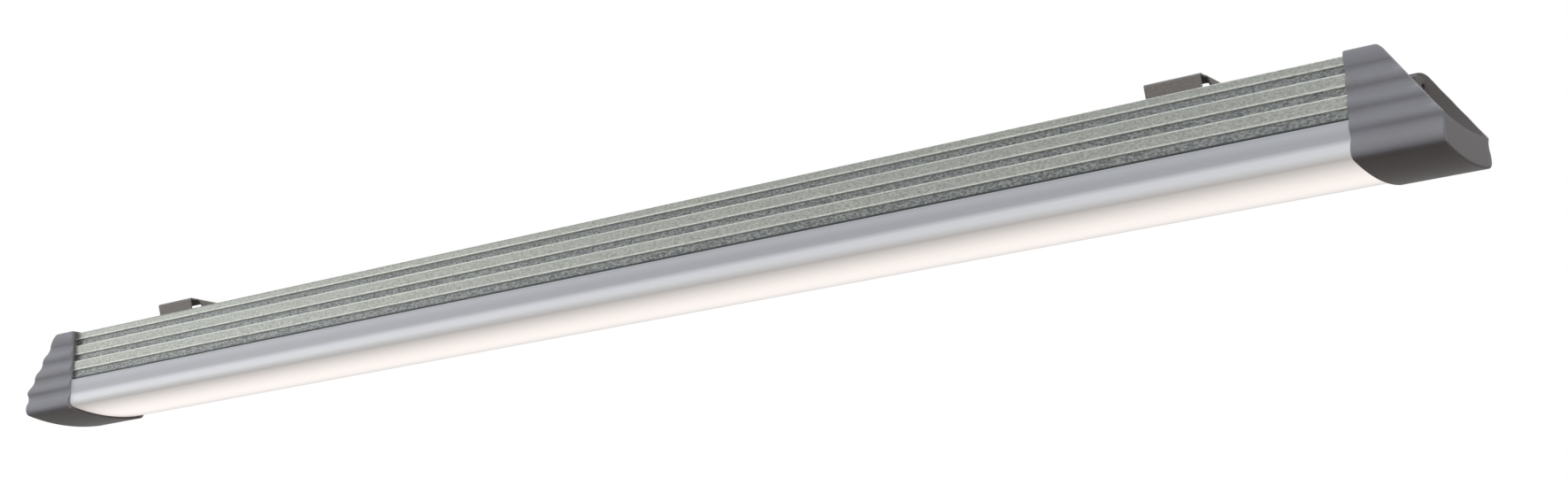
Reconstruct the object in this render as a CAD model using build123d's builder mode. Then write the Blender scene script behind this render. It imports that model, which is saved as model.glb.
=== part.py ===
from build123d import *
import os

# Linear LED ceiling light: a ribbed aluminium body with an opal diffuser, two moulded end caps
# with open cable recesses, and two sheet-steel ceiling clips.
# Millimetres. X runs along the length, Y to the back, Z up, and the origin is the middle of the
# ceiling plane that the clips are screwed to. A depth is measured down from the top of the caps.

# Overall
total_length = 1265.0
cap_stand = 9.8              # ceiling to the top of the caps

# End cap, outside
cap_length = 56.2            # inner lip to outer end
cap_flat = 21.6              # inner lip to the top of the slope
end_face_height = 18.3       # from the slope down to the lower corners
cap_side_depth = 66.9        # depth of the lower corners
cap_half_top = 38.3
cap_half_bottom = 40.0
cap_top_radius = 2.0
cap_lip_radius = 1.5         # corner of the inner lip, seen from the front
cap_rim_radius = 0.8         # edge of the cheeks along the slope
cap_corner_radius = 5.0
cap_end_radius = 1.6
cap_crown = 4.5              # how far the underside bulges below the lower corners
wave_first = 7.6             # depth of the first crest on the cheeks
wave_end = 6.9               # the wave runs out this far above the lower corners
wave_height = 0.9            # crest above the mean side
wave_crests = 4

# End cap, inside
cheek_wall = 3.0
floor_wall = 2.6
end_wall = 3.0
end_face_sag = 2.5           # how far the low end face dips in the middle
sleeve_depth = 8.7           # lip to the face that the gasket seats on
shoulder_wall = 3.0
entry_block_length = 12.0    # shoulder to the face that carries the gland
entry_block_wall = 2.5
entry_block_radius = 3.0
drip_gap = 2.5               # gutter between the entry block and the cheeks
entry_block_drop = 6.6
saddle_half = 16.0           # dip in the middle of the entry block's top
saddle_depth = 13.5
saddle_radius = 2.0
hollow_half = 21.5
hollow_top = 16.0
hollow_bottom = 57.5
hollow_radius = 3.0
pocket_radius = 2.5

# Housing section
housing_drop = 1.8           # top of the caps to the top face
housing_half_top = 33.9
side_lean = 0.0976           # growth of the half-width for each millimetre of depth
housing_corner_radius = 1.2
first_groove = 7.9           # depth of the first groove's upper edge
rib_width = 8.5
groove_width = 5.1
rib_count = 3
groove_depth = 1.6
rib_edge_radius = 0.7
skirt_width = 6.8
top_wall = 2.5
side_wall = 2.0
shelf_wall = 2.0
chamber_radius = 1.5
port_radius = 4.2
port_across = 27.6           # screw ports, from the middle
port_depths = (14.0, 37.0)
clip_rail_height = 2.8
clip_rail_lip = 1.2
clip_rail_web = 2.0
clip_rail_reach = 2.0
clip_rail_inner = 20.0
rail_set_back = 2.0          # rails end this far before the caps
foot_inner = 31.0
foot_wall = 2.0
foot_reach = 2.4
foot_lip = 1.6

# Diffuser
diffuser_half_top = 37.8
diffuser_half_bottom = 38.2
diffuser_side_depth = 64.9
diffuser_crown = 4.2
diffuser_radius = 5.0
diffuser_wall = 2.0
flange_inner = 33.4
diffuser_edge_radius = 0.8
seal_thickness = 0.6
seal_inset = 0.2

# Fits
cap_gap = 0.15               # between the caps and what slides into them
slide_gap = 0.15             # between the diffuser's flange and the housing's foot
gasket_thickness = 1.5

# Screws
cap_screw_radius = 2.0
cap_screw_clearance = 0.25
port_clearance = 0.1
cap_screw_head = 3.7
cap_screw_head_height = 2.6
cap_screw_length = 20.0
counterbore_radius = 4.0
counterbore_depth = 4.0

# Ceiling clips
clip_lip_distance = 116.3    # inner lip of a cap to the middle of the nearer clip
clip_length = 42.0
clip_half_width = 28.0
clip_lean = 0.259            # how far the side flanges lean in for each millimetre down
clip_sheet = 1.2
clip_bend = 1.7
clip_foot = 2.8
clip_gap = 0.2
clip_hole_radius = 2.75
clip_hole_spacing = 34.0
clip_window_length = 32.0
clip_window_width = 14.0
clip_window_radius = 3.0
end_flange_half = 19.5
end_flange_taper = 0.95      # how far its sides close in for each millimetre down

# Cable entries
entry_depth = 44.0
entry_radius = 8.0           # thread of the gland and of the plug
entry_clearance = 0.1
gland_flats = 20.0
gland_flange = 4.5
gland_tail = 8.5
gland_bore = 5.5
gland_neck_radius = 7.4
gland_neck = 5.0
gland_seal_radius = 6.4
gland_seal_bore = 4.5
gland_seal_length = 5.0
gland_membrane = 0.8
dome_nut_flats = 19.0
dome_nut_length = 9.0
dome_nut_hex = 4.5
dome_nut_mouth = 5.0
dome_nut_end_radius = 6.8
dome_nut_gap = 0.1
locknut_thickness = 3.5
plug_head_radius = 10.5
plug_head = 4.0
plug_slot_width = 2.0
plug_slot_depth = 1.5
plug_seal = 1.0

# Light engine
board_end_gap = 39.5         # end of a board to the end of the body
board_width = 40.0
board_thickness = 1.6
board_split = 8.0
package_length = 3.5
package_width = 2.8
package_height = 0.7
package_rows = 2
package_row_spacing = 20.0
packages_per_row = 24
board_screw_count = 5
board_screw_radius = 1.5
board_screw_gap = 0.1
board_screw_head = 2.8
board_screw_head_height = 1.6
board_screw_margin = 20.0
board_screw_tip = 0.3
connector_length = 14.0
connector_width = 10.0
connector_height = 4.0

# Driver and wiring
driver_lead_run = 32.0       # driver to terminal block
driver_length = 300.0
driver_base_half = 21.5
driver_base_thickness = 1.2
driver_case_half = 20.0
driver_case_height = 26.0
driver_case_wall = 1.6
driver_case_radius = 2.5
driver_rail_gap = 0.3
driver_rail_wall = 1.4
driver_rail_lip = 1.2
driver_lead_hole = 1.6
terminal_end_gap = 17.5      # terminal block to the end of the body
terminal_length = 14.0
terminal_half = 16.0
terminal_height = 15.0
terminal_pole_spacing = 10.0
terminal_funnel = 2.1
terminal_lead_rise = 5.0
terminal_screw_radius = 1.8
terminal_screw_length = 5.0
terminal_screw_drop = 1.0
terminal_fix_radius = 1.5
terminal_fix_head = 2.6
terminal_fix_head_height = 1.8
terminal_fix_drop = 3.0
terminal_fix_tip = 1.5
terminal_hole_gap = 0.1
earth_end_gap = 9.5          # earth screw to the end of the body
earth_screw_radius = 2.0
earth_head = 3.8
earth_head_height = 2.6
earth_washer_radius = 4.4
earth_washer = 1.0
earth_tip = 2.0
mains_lead_radius = 1.2
lead_insertion = 4.0
led_lead_radius = 0.75
led_lead_spacing = 1.9
led_lead_rise = 4.0
led_lead_bend = 3.0
grommet_neck = 3.2
grommet_flange = 3.8
grommet_flange_height = 1.0
grommet_bore = 2.1
grommet_gap = 0.05

# Places worked out from the sizes above
end_x = total_length / 2
lip_x = end_x - cap_length
shoulder_inner_x = lip_x + sleeve_depth
shoulder_x = shoulder_inner_x + shoulder_wall
block_x = shoulder_x + entry_block_length
body_half = shoulder_inner_x - gasket_thickness
clip_spacing = 2 * (lip_x - clip_lip_distance)
board_length = body_half - board_end_gap - board_split / 2
package_pitch = board_length / packages_per_row
terminal_start = body_half - terminal_end_gap - terminal_length
driver_end = terminal_start - driver_lead_run
driver_start = driver_end - driver_length
earth_x = body_half - earth_end_gap
rib_pitch = rib_width + groove_width
slope_drop = cap_side_depth - end_face_height
wave_pitch = (cap_side_depth - wave_first - wave_end) / wave_crests
skirt_start = first_groove + (rib_count - 1) * rib_pitch
housing_bottom = skirt_start + skirt_width
shelf_top = housing_bottom - shelf_wall
diffuser_top = housing_bottom + seal_thickness
board_bottom = housing_bottom + board_thickness
port_spots = [(side * port_across, depth) for side in (-1, 1) for depth in port_depths]
rail_end_reach = clip_rail_inner + clip_rail_web + clip_rail_reach
clip_spots = {"left": -clip_spacing / 2, "right": clip_spacing / 2}

touch = 0.01                 # closer than this counts as the same place
standing = (Align.CENTER, Align.CENTER, Align.MIN)
hanging = (Align.CENTER, Align.CENTER, Align.MAX)

os.makedirs("parts", exist_ok=True)


def level(depth):
    """Height of a level that lies this deep under the top of the caps."""
    return -(cap_stand + depth)


def keep(piece, name):
    """Name a finished piece and write its file."""
    piece.part.label = name
    export_step(piece.part, f"parts/{name}.step")


def cap_half(depth):
    """Half-width of the cap's mean side at a depth."""
    return cap_half_top + (cap_half_bottom - cap_half_top) * depth / cap_side_depth


def rib_half(depth):
    """Half-width over the housing's ribs at a depth."""
    return housing_half_top + side_lean * (depth - housing_drop)


def mirrored_face(points):
    """A section face whose right half is the given run of (half-width, depth) points."""
    right = [(y, level(depth)) for y, depth in points]
    left = [(-y, z) for y, z in reversed(right)]
    with BuildSketch() as face:
        with BuildLine():
            Polyline(*right, *left, close=True)
        make_face()
    return face.sketch


def crowned_face(upper_half, upper_depth, lower_half, lower_depth, crown, radius):
    """A section face with a flat top, plain sides, rounded lower corners and a crowned underside."""
    corner = (lower_half, level(lower_depth))
    upper = (upper_half, level(upper_depth))
    with BuildSketch() as face:
        with BuildLine():
            ThreePointArc(corner, (0, level(lower_depth + crown)), (-corner[0], corner[1]))
            Polyline((-corner[0], corner[1]), (-upper[0], upper[1]), upper, corner)
        make_face()
        fillet(face.vertices().filter_by(at_level(lower_depth)), radius)
    return face.sketch


def cap_outline():
    """Cap section: flat top, wavy cheeks of tangent arcs, rounded lower corners, crowned underside."""
    bends = [(cap_half(0), level(0))]
    swells = []
    for index in range(2 * wave_crests):
        depth = wave_first + index * wave_pitch / 2
        swell = wave_height if index % 2 == 0 else -wave_height
        swells.append((cap_half(depth) + swell, level(depth)))
        joint_depth = depth + wave_pitch / 4
        bends.append((cap_half(joint_depth), level(joint_depth)))
    corner = (cap_half_bottom, level(cap_side_depth))
    bottom = (0, level(cap_side_depth + cap_crown))
    with BuildSketch() as face:
        with BuildLine():
            for side in (-1, 1):
                outer = [(side * y, z) for y, z in bends]
                middle = [(side * y, z) for y, z in swells]
                Line((0, level(0)), outer[0])
                for start, through, end in zip(outer, middle, outer[1:]):
                    wave = ThreePointArc(start, through, end)
                TangentArc(outer[-1], (side * corner[0], corner[1]), tangent=wave % 1)
            ThreePointArc(corner, bottom, (-corner[0], corner[1]))
        make_face()
        fillet(face.vertices().filter_by(at_level(0)), cap_top_radius)
        fillet(face.vertices().filter_by(at_level(cap_side_depth)), cap_corner_radius)
    return face.sketch


def housing_outline():
    """Outside of the housing: three ribs a side over a set-back skirt."""
    points = [(rib_half(housing_drop), housing_drop)]
    for index in range(rib_count):
        upper = first_groove + index * rib_pitch
        lower = upper + (groove_width if index < rib_count - 1 else skirt_width)
        points.append((rib_half(upper), upper))
        points.append((rib_half(upper) - groove_depth, upper))
        points.append((rib_half(lower) - groove_depth, lower))
        if index < rib_count - 1:
            points.append((rib_half(lower), lower))
    return mirrored_face(points)


def diffuser_outline():
    """Outside of the diffuser, closed across its top."""
    return crowned_face(diffuser_half_top, diffuser_top, diffuser_half_bottom, diffuser_side_depth,
                        diffuser_crown, diffuser_radius)


def at_level(depth):
    """Picks the corners of a section that lie at a depth."""
    return lambda corner: abs(corner.Y - level(depth)) < touch


def hook(side, inner, web, reach, lip, root, height):
    """Section of an L-shaped rail: a web that stands on a face and a lip that points outwards."""
    tip = root + height
    lip_root = tip - lip if height > 0 else tip + lip
    points = [(inner, root), (inner, tip), (inner + web + reach, tip),
              (inner + web + reach, lip_root), (inner + web, lip_root), (inner + web, root)]
    with BuildSketch() as face:
        with BuildLine():
            Polyline(*[(side * y, z) for y, z in points], close=True)
        make_face()
    return face.sketch


# Sections. They lie flat here, across by height, and each piece stands its own up on the YZ plane.
seal_outer = rib_half(housing_bottom) - groove_depth - seal_inset
seal_inner = foot_inner + foot_wall + seal_inset
seal_middle = level(housing_bottom + seal_thickness / 2)

with BuildSketch() as body_outline:
    add(housing_outline())
    add(diffuser_outline())
    with Locations((0, seal_middle)):
        Rectangle(2 * seal_outer, seal_thickness)

with BuildSketch() as chamber:
    inset = groove_depth + side_wall
    chamber_top = housing_drop + top_wall
    chamber_corners = [(rib_half(depth) - inset, depth) for depth in (chamber_top, shelf_top)]
    add(mirrored_face(chamber_corners))
    fillet(chamber.vertices(), chamber_radius)
    with Locations([(y, level(depth)) for y, depth in port_spots]):
        Circle(port_radius, mode=Mode.SUBTRACT)

with BuildSketch() as housing_section:
    add(housing_outline())
    upper_edges = [first_groove + index * rib_pitch for index in range(rib_count)]
    lower_edges = [edge + groove_width for edge in upper_edges[:-1]]
    for edge in upper_edges + lower_edges:
        ends = housing_section.vertices().filter_by(at_level(edge)).sort_by(Axis.X)
        fillet([ends[0], ends[-1]], rib_edge_radius)
    fillet(housing_section.vertices().filter_by(at_level(housing_drop)), housing_corner_radius)
    add(chamber.sketch, mode=Mode.SUBTRACT)
    with Locations([(y, level(depth)) for y, depth in port_spots]):
        Circle(cap_screw_radius + port_clearance, mode=Mode.SUBTRACT)
    foot_height = seal_thickness + diffuser_wall + slide_gap + foot_lip
    rail_height = driver_base_thickness + driver_rail_gap + driver_rail_lip
    rail_inner = driver_case_half + driver_rail_gap
    rail_web = driver_base_half + driver_rail_gap
    for side in (-1, 1):
        # Rail that the ceiling clips snap under
        add(hook(side, clip_rail_inner, clip_rail_web, clip_rail_reach, clip_rail_lip,
                 level(housing_drop), clip_rail_height))
        # Foot that carries the diffuser
        add(hook(side, foot_inner, foot_wall, foot_reach, foot_lip, level(housing_bottom), -foot_height))
        # Rail that the driver's base slides under
        add(hook(-side, -rail_web - driver_rail_wall, driver_rail_wall, rail_web - rail_inner,
                 driver_rail_lip, level(shelf_top), rail_height))

with BuildSketch() as diffuser_section:
    add(diffuser_outline())
    offset(amount=-diffuser_wall, mode=Mode.SUBTRACT)
    fillet(diffuser_section.vertices().filter_by(at_level(diffuser_top)), diffuser_edge_radius)
    with Locations((0, level(diffuser_top + diffuser_wall / 2))):
        Rectangle(2 * flange_inner, 1.2 * diffuser_wall, mode=Mode.SUBTRACT)

with BuildSketch() as hollow_section:
    with Locations((0, level((hollow_top + hollow_bottom) / 2))):
        RectangleRounded(2 * hollow_half, hollow_bottom - hollow_top, hollow_radius)

with BuildSketch() as sleeve_section:
    add(body_outline.sketch)
    offset(amount=cap_gap)

with BuildSketch() as recess_section:
    recess_depth = cap_side_depth - floor_wall
    add(crowned_face(cap_half_top - cheek_wall, -cap_stand, cap_half(recess_depth) - cheek_wall,
                     recess_depth, cap_crown, pocket_radius))

with BuildSketch() as entry_block_section:
    block_half = cap_half_top - cheek_wall - drip_gap
    block_height = cap_side_depth - entry_block_drop
    with Locations((0, level(entry_block_drop + block_height / 2))):
        RectangleRounded(2 * block_half, block_height, entry_block_radius)
    with Locations((0, level(saddle_depth / 2))):
        Rectangle(2 * saddle_half, saddle_depth, mode=Mode.SUBTRACT)
    saddle_corners = entry_block_section.vertices().filter_by(
        lambda corner: abs(abs(corner.X) - saddle_half) < touch)
    fillet(saddle_corners, saddle_radius)

# Places of the holes in the housing's shelf
board_screw_spots = []
for side in (-1, 1):
    reach = board_length - 2 * board_screw_margin
    for index in range(board_screw_count):
        along = board_split / 2 + board_screw_margin + index * reach / (board_screw_count - 1)
        board_screw_spots.append((side * along, 0))
terminal_x = terminal_start + terminal_length / 2
terminal_fix_spots = [(terminal_x, side * terminal_pole_spacing / 2) for side in (-1, 1)]

# Housing
with BuildPart() as housing:
    with BuildSketch(Plane.YZ):
        add(housing_section.sketch)
    extrude(amount=body_half, both=True)
    with BuildSketch(Plane.XY.offset(level(shelf_top))):
        with Locations((0, 0)):
            Circle(grommet_neck + grommet_gap)
        with Locations(board_screw_spots):
            Circle(board_screw_radius + board_screw_gap)
        with Locations(terminal_fix_spots):
            Circle(terminal_fix_radius + terminal_hole_gap)
        with Locations((earth_x, 0)):
            Circle(earth_screw_radius + terminal_hole_gap)
    extrude(amount=-shelf_wall, mode=Mode.SUBTRACT)
    # The clip rails are milled off where the caps slide on
    with BuildSketch(Plane.XY.offset(level(housing_drop))):
        with Locations((-lip_x, 0), (lip_x, 0)):
            Rectangle(2 * (body_half - lip_x + rail_set_back), 2 * rail_end_reach)
    extrude(amount=clip_rail_height, mode=Mode.SUBTRACT)
keep(housing, "housing")

# Diffuser: an opal channel whose flanges hook over the housing's feet
with BuildPart() as diffuser:
    with BuildSketch(Plane.YZ):
        add(diffuser_section.sketch)
    extrude(amount=body_half, both=True)
keep(diffuser, "diffuser")

# Seals between the housing and the diffuser's flanges
for name, side in (("diffuser_seal_front", -1), ("diffuser_seal_back", 1)):
    with BuildPart() as diffuser_seal:
        with BuildSketch(Plane.YZ):
            with Locations((side * (seal_outer + seal_inner) / 2, seal_middle)):
                Rectangle(seal_outer - seal_inner, seal_thickness)
        extrude(amount=body_half, both=True)
    keep(diffuser_seal, name)

# End cap
with BuildPart() as end_cap_right:
    with BuildSketch(Plane.YZ.offset(lip_x)):
        add(cap_outline())
    extrude(amount=cap_length)
    end_rim = end_cap_right.faces().sort_by(Axis.X)[-1].edges()
    lower_rim = end_rim.filter_by(lambda edge: edge.center().Z < level(slope_drop - wave_pitch / 2))
    fillet(lower_rim, cap_end_radius)
    slope_top = (lip_x + cap_flat, level(0))
    slope_bottom = (end_x, level(slope_drop))
    under = level(cap_side_depth + 2 * cap_crown)
    with BuildSketch(Plane.XZ) as side_view:
        with BuildLine():
            Polyline((lip_x, under), (lip_x, level(0)), slope_top, slope_bottom, (end_x, under), close=True)
        make_face()
        lip_corner = side_view.vertices().group_by(Axis.Y)[-1].sort_by(Axis.X)[0]
        fillet(lip_corner, cap_lip_radius)
    extrude(amount=2 * cap_half_bottom, both=True, mode=Mode.INTERSECT)

    # Rounded rims of the cheeks, along the slope
    slope_normal = Vector(slope_top[1] - slope_bottom[1], 0, slope_bottom[0] - slope_top[0]).normalized()
    slope_face = end_cap_right.faces().filter_by(lambda face: face.normal_at().dot(slope_normal) > 1 - touch)
    rims = slope_face.edges().filter_by(lambda edge: abs(edge.center().Y) > cap_half(0) - cheek_wall)
    fillet(rims, cap_rim_radius)

    # Open recess between the cheeks, and the gutter round the entry block
    with BuildSketch(Plane.YZ.offset(shoulder_x)):
        add(recess_section.sketch)
        add(entry_block_section.sketch, mode=Mode.SUBTRACT)
    extrude(amount=entry_block_length, mode=Mode.SUBTRACT)
    with BuildSketch(Plane.YZ.offset(block_x)):
        add(recess_section.sketch)
    extrude(amount=end_x - end_wall - block_x, mode=Mode.SUBTRACT)

    # The low end wall dips between the cheeks, where the cable lies
    dip_half = cap_half(slope_drop) - cheek_wall - wave_height
    dip_end = (dip_half, level(slope_drop))
    with BuildSketch(Plane.YZ.offset(end_x - end_wall)):
        with BuildLine():
            ThreePointArc(dip_end, (0, level(slope_drop + end_face_sag)), (-dip_end[0], dip_end[1]))
            Polyline((-dip_end[0], dip_end[1]), (-dip_end[0], level(0)), (dip_end[0], level(0)), dip_end)
        make_face()
    extrude(amount=end_wall, mode=Mode.SUBTRACT)

    # Sleeve for the body, and the hollow behind the entry
    with BuildSketch(Plane.YZ.offset(lip_x)):
        add(sleeve_section.sketch)
    extrude(amount=sleeve_depth, mode=Mode.SUBTRACT)
    with BuildSketch(Plane.YZ.offset(shoulder_inner_x)):
        add(hollow_section.sketch)
    extrude(amount=shoulder_wall + entry_block_length - entry_block_wall, mode=Mode.SUBTRACT)

    # Screw holes and the cable entry
    with Locations(Plane.YZ.offset(block_x)):
        with Locations([(y, level(depth)) for y, depth in port_spots]):
            CounterBoreHole(cap_screw_radius + cap_screw_clearance, counterbore_radius,
                            counterbore_depth, depth=shoulder_wall + entry_block_length)
        with Locations((0, level(entry_depth))):
            Hole(entry_radius + entry_clearance, depth=entry_block_wall)
keep(end_cap_right, "end_cap_right")

with BuildPart() as end_cap_left:
    mirror(end_cap_right.part, about=Plane.YZ)
keep(end_cap_left, "end_cap_left")

# Gaskets between the body's ends and the caps
with BuildPart() as cap_gasket_right:
    with BuildSketch(Plane.YZ.offset(body_half)):
        add(body_outline.sketch)
        add(hollow_section.sketch, mode=Mode.SUBTRACT)
        with Locations([(y, level(depth)) for y, depth in port_spots]):
            Circle(cap_screw_radius + cap_screw_clearance, mode=Mode.SUBTRACT)
    extrude(amount=gasket_thickness)
keep(cap_gasket_right, "cap_gasket_right")

with BuildPart() as cap_gasket_left:
    mirror(cap_gasket_right.part, about=Plane.YZ)
keep(cap_gasket_left, "cap_gasket_left")

# Pan-head screws that draw the caps onto the body
with BuildPart() as cap_screws_right:
    seat_x = block_x - counterbore_depth
    with Locations(Plane.YZ.offset(seat_x)):
        with Locations([(y, level(depth)) for y, depth in port_spots]):
            Cylinder(cap_screw_head, cap_screw_head_height, align=standing)
            Cylinder(cap_screw_radius, cap_screw_length, align=hanging)
    fillet(cap_screws_right.faces().filter_by(Axis.X).group_by(Axis.X)[-1].edges(), cap_screw_head_height / 3)
keep(cap_screws_right, "cap_screws_right")

with BuildPart() as cap_screws_left:
    mirror(cap_screws_right.part, about=Plane.YZ)
keep(cap_screws_left, "cap_screws_left")

# Ceiling clips: one sheet with two hooked flanges and a sloped flange at each end
foot_depth = housing_drop - clip_gap
foot_half = clip_half_width - clip_lean * -level(foot_depth)
with BuildSketch() as clip_section:
    with BuildLine():
        hooked = FilletPolyline(
            (foot_half - clip_foot, level(foot_depth)), (foot_half, level(foot_depth)), (clip_half_width, 0),
            (-clip_half_width, 0), (-foot_half, level(foot_depth)),
            (clip_foot - foot_half, level(foot_depth)),
            radius=clip_bend)
        offset(hooked, amount=clip_sheet, side=Side.LEFT)
    make_face()

with BuildSketch() as clip_end_section:
    with BuildLine():
        folded = FilletPolyline(
            (clip_length / 2, level(foot_depth)), (clip_length / 2, 0), (-clip_length / 2, 0),
            (-clip_length / 2, level(foot_depth)), radius=clip_bend)
        offset(folded, amount=clip_sheet, side=Side.LEFT)
    make_face()

for name, clip_x in clip_spots.items():
    with BuildPart() as ceiling_clip:
        with BuildSketch(Plane.YZ.offset(clip_x)):
            add(clip_section.sketch)
        extrude(amount=clip_length / 2 - clip_bend, both=True)
        with BuildSketch(Plane.XZ) as end_fold:
            with Locations((clip_x, 0)):
                add(clip_end_section.sketch)
        extrude(amount=end_flange_half, both=True)
        tip_half = end_flange_half + end_flange_taper * level(foot_depth)
        for side in (-1, 1):
            with BuildSketch(Plane.YZ.offset(clip_x - clip_length / 2)):
                with BuildLine():
                    Polyline((side * end_flange_half, -clip_sheet), (side * tip_half, level(foot_depth)),
                             (side * end_flange_half, level(foot_depth)), close=True)
                make_face()
            extrude(amount=clip_length, mode=Mode.SUBTRACT)
        with BuildSketch(Plane.XY):
            with Locations((clip_x, 0)):
                RectangleRounded(clip_window_length, clip_window_width, clip_window_radius)
                with Locations((0, -clip_hole_spacing / 2), (0, clip_hole_spacing / 2)):
                    Circle(clip_hole_radius)
        extrude(amount=-clip_sheet, mode=Mode.SUBTRACT)
    keep(ceiling_clip, f"ceiling_clip_{name}")


def hexagon(flats):
    """Radius over the corners of a hexagon, from its width over the flats."""
    return flats / 3 ** 0.5


# Cable gland on the right-hand entry
entry_z = level(entry_depth)
flange_x = block_x + gland_flange
neck_end_x = flange_x + gland_neck

with BuildPart() as gland_body:
    with BuildSketch(Plane.YZ.offset(block_x)):
        with Locations((0, entry_z)):
            RegularPolygon(hexagon(gland_flats), 6)
    extrude(amount=gland_flange)
    with BuildSketch(Plane.YZ.offset(block_x - gland_tail)):
        with Locations((0, entry_z)):
            Circle(entry_radius)
    extrude(amount=gland_tail)
    with BuildSketch(Plane.YZ.offset(flange_x)):
        with Locations((0, entry_z)):
            Circle(gland_neck_radius)
    extrude(amount=gland_neck)
    with Locations(Plane.YZ.offset(neck_end_x)):
        with Locations((0, entry_z)):
            CounterBoreHole(gland_bore, gland_seal_radius, gland_seal_length,
                            depth=gland_neck + gland_flange + gland_tail)
keep(gland_body, "gland_body")

with BuildPart() as gland_seal:
    with BuildSketch(Plane.YZ.offset(neck_end_x - gland_seal_length)):
        with Locations((0, entry_z)):
            Circle(gland_seal_radius)
    extrude(amount=gland_seal_length)
    with Locations(Plane.YZ.offset(neck_end_x)):
        with Locations((0, entry_z)):
            Hole(gland_seal_bore, depth=gland_seal_length - gland_membrane)
keep(gland_seal, "gland_seal")

with BuildPart() as gland_dome_nut:
    with BuildSketch(Plane.YZ.offset(flange_x)):
        with Locations((0, entry_z)):
            RegularPolygon(hexagon(dome_nut_flats), 6)
    extrude(amount=dome_nut_hex)
    with BuildSketch(Plane.YZ.offset(flange_x + dome_nut_hex)) as dome_foot:
        with Locations((0, entry_z)):
            Circle(dome_nut_flats / 2)
    with BuildSketch(Plane.YZ.offset(flange_x + dome_nut_length)) as dome_tip:
        with Locations((0, entry_z)):
            Circle(dome_nut_end_radius)
    loft()
    with Locations(Plane.YZ.offset(flange_x)):
        with Locations((0, entry_z)):
            Hole(dome_nut_mouth)
    with BuildSketch(Plane.YZ.offset(flange_x)):
        with Locations((0, entry_z)):
            Circle(gland_neck_radius + dome_nut_gap)
    extrude(amount=gland_neck + dome_nut_gap, mode=Mode.SUBTRACT)
keep(gland_dome_nut, "gland_dome_nut")

locknut_x = block_x - entry_block_wall - locknut_thickness
with BuildPart() as gland_locknut:
    with BuildSketch(Plane.YZ.offset(locknut_x)):
        with Locations((0, entry_z)):
            RegularPolygon(hexagon(gland_flats), 6)
            Circle(entry_radius + entry_clearance, mode=Mode.SUBTRACT)
    extrude(amount=locknut_thickness)
keep(gland_locknut, "gland_locknut")

# Blanking plug in the unused left-hand entry
with BuildPart() as blanking_locknut:
    mirror(gland_locknut.part, about=Plane.YZ)
keep(blanking_locknut, "blanking_locknut")

with BuildPart() as blanking_plug_seal:
    with BuildSketch(Plane.YZ.offset(-block_x - plug_seal)):
        with Locations((0, entry_z)):
            Circle(plug_head_radius)
            Circle(entry_radius + entry_clearance, mode=Mode.SUBTRACT)
    extrude(amount=plug_seal)
keep(blanking_plug_seal, "blanking_plug_seal")

plug_face_x = -block_x - plug_seal - plug_head
with BuildPart() as blanking_plug:
    with BuildSketch(Plane.YZ.offset(plug_face_x)):
        with Locations((0, entry_z)):
            Circle(plug_head_radius)
    extrude(amount=plug_head)
    chamfer(blanking_plug.faces().sort_by(Axis.X)[0].edges(), plug_slot_depth / 2)
    with BuildSketch(Plane.YZ.offset(plug_face_x)):
        with Locations((0, entry_z)):
            Circle(entry_radius)
    extrude(amount=plug_head + plug_seal + gland_tail)
    with BuildSketch(Plane.YZ.offset(plug_face_x)):
        with Locations((0, entry_z)):
            SlotOverall(1.5 * plug_head_radius, plug_slot_width)
    extrude(amount=plug_slot_depth, mode=Mode.SUBTRACT)
keep(blanking_plug, "blanking_plug")

# Light engine: two boards under the shelf, with a connector over the gap between them
board_middle = board_split / 2 + board_length / 2
for name, side in (("led_board_left", -1), ("led_board_right", 1)):
    with BuildPart() as led_board:
        with BuildSketch(Plane.XY.offset(level(housing_bottom))):
            with Locations((side * board_middle, 0)):
                Rectangle(board_length, board_width)
            with Locations([spot for spot in board_screw_spots if side * spot[0] > 0]):
                Circle(board_screw_radius + board_screw_gap, mode=Mode.SUBTRACT)
        extrude(amount=-board_thickness)
    keep(led_board, name)

with BuildPart() as led_packages:
    with BuildSketch(Plane.XY.offset(level(board_bottom))):
        with Locations((-board_middle, 0), (board_middle, 0)):
            with GridLocations(package_pitch, package_row_spacing, packages_per_row, package_rows):
                Rectangle(package_length, package_width)
    extrude(amount=-package_height)
keep(led_packages, "led_packages")

with BuildPart() as board_screws:
    with Locations(Plane.XY.offset(level(board_bottom))):
        with Locations(board_screw_spots):
            Cylinder(board_screw_head, board_screw_head_height, align=hanging)
            Cylinder(board_screw_radius, board_thickness + shelf_wall - board_screw_tip, align=standing)
keep(board_screws, "board_screws")

with BuildPart() as board_connector:
    with BuildSketch(Plane.XY.offset(level(board_bottom))):
        RectangleRounded(connector_length, connector_width, connector_height / 4)
    extrude(amount=-connector_height)
keep(board_connector, "board_connector")

# Driver: a steel base that slides under the shelf's rails, and a moulded case on it
driver_middle = driver_start + driver_length / 2
case_foot = shelf_top - driver_base_thickness
mains_lead_depth = shelf_top - terminal_lead_rise
led_lead_depth = shelf_top - led_lead_rise
mains_lead_spots = [(side * terminal_pole_spacing, level(mains_lead_depth)) for side in (-1, 0, 1)]
led_lead_spots = [(side * led_lead_spacing / 2, level(led_lead_depth)) for side in (-1, 1)]

with BuildPart() as driver_base:
    with BuildSketch(Plane.XY.offset(level(shelf_top))):
        with Locations((driver_middle, 0)):
            Rectangle(driver_length, 2 * driver_base_half)
    extrude(amount=driver_base_thickness)
keep(driver_base, "driver_base")

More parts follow.
